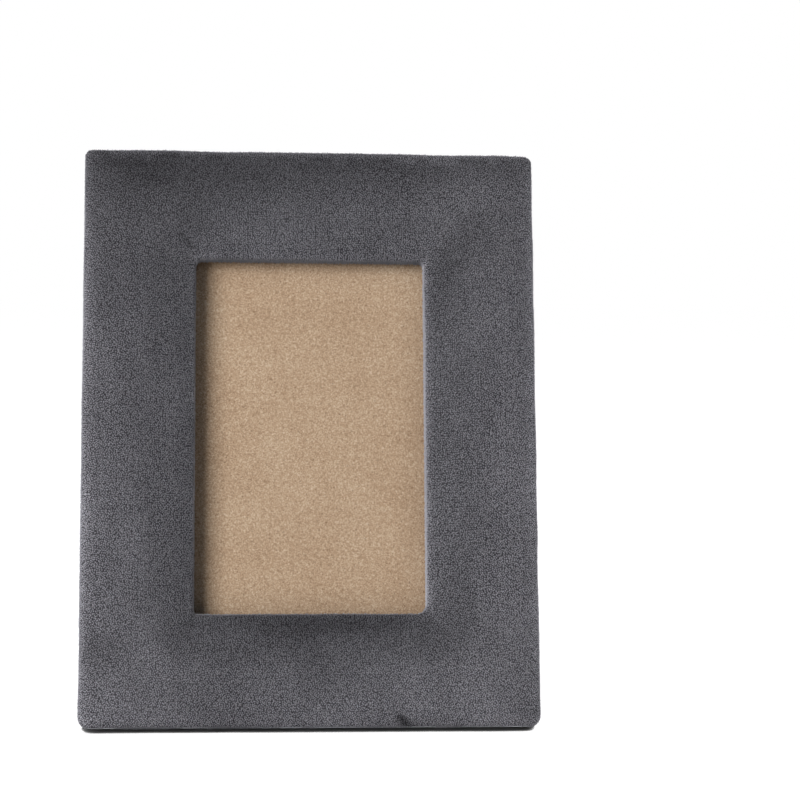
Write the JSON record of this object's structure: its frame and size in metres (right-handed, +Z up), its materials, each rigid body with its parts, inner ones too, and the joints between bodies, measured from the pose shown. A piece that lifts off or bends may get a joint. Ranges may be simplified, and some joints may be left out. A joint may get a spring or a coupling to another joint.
{
  "type": "photo frame",
  "caption": "Upright padded photo frame covered in grey velvet, with a glazed window, a backing held by turn buttons and a hinged easel strut that stands it on a table.",
  "frame": {"origin": "middle of the flattened velvet edge that the frame stands on, on the table", "axes": "+Z up, -Y towards the viewer of the picture, +X to the right of a viewer facing the front"},
  "size_m": [0.18, 0.09, 0.2263],
  "materials": {
    "velvet": "short grey plush pile",
    "foam": "soft open-cell padding",
    "mdf": "raw fibreboard",
    "insert": "raw fibreboard, sanded face",
    "lining": "black flocked paper",
    "glass": "clear float glass",
    "nickel": "nickel-plated sheet steel",
    "steel": "bright steel"
  },
  "bodies": {
    "frame": {"velvet_cover": "velvet", "foam_pad": "foam", "top_rail": "mdf", "right_rail": "mdf", "bottom_rail": "mdf", "left_rail": "mdf", "corner_nail_top_right": "steel", "corner_nail_top_left": "steel", "corner_nail_bottom_left": "steel", "corner_nail_bottom_right": "steel", "rear_lining": "lining", "glass_pane": "glass", "insert_board": "insert", "back_panel": "mdf", "back_panel_lining": "lining", "turn_screw_left_upper": "nickel", "turn_screw_left_lower": "nickel", "turn_screw_right_upper": "nickel", "turn_screw_right_lower": "nickel", "hinge_base_leaf": "nickel", "hinge_pin": "steel", "base_rivet_left": "nickel", "base_rivet_right": "nickel"},
    "strut": {"strut_board": "mdf", "strut_lining": "lining", "hinge_strut_leaf": "nickel", "strut_rivet_left": "nickel", "strut_rivet_right": "nickel"},
    "button_left_upper": {"turn_button_left_upper": "nickel"},
    "button_left_lower": {"turn_button_left_lower": "nickel"},
    "button_right_upper": {"turn_button_right_upper": "nickel"},
    "button_right_lower": {"turn_button_right_lower": "nickel"}
  },
  "joints": [
    {"name": "strut_hinge", "type": "hinge", "parent": "frame", "child": "strut", "pos_m": [0, 0.04368, 0.1597], "axis": [1, 0, 0], "range_deg": [-24, 0]},
    {"name": "button_turn_left_upper", "type": "hinge", "parent": "frame", "child": "button_left_upper", "pos_m": [-0.058, 0.03934, 0.15557], "axis": [0, 0.9744, -0.225], "continuous": true},
    {"name": "button_turn_left_lower", "type": "hinge", "parent": "frame", "child": "button_left_lower", "pos_m": [-0.058, 0.01865, 0.06593], "axis": [0, 0.9744, -0.225], "continuous": true},
    {"name": "button_turn_right_upper", "type": "hinge", "parent": "frame", "child": "button_right_upper", "pos_m": [0.058, 0.03934, 0.15557], "axis": [0, 0.9744, -0.225], "continuous": true},
    {"name": "button_turn_right_lower", "type": "hinge", "parent": "frame", "child": "button_right_lower", "pos_m": [0.058, 0.01865, 0.06593], "axis": [0, 0.9744, -0.225], "continuous": true}
  ]
}
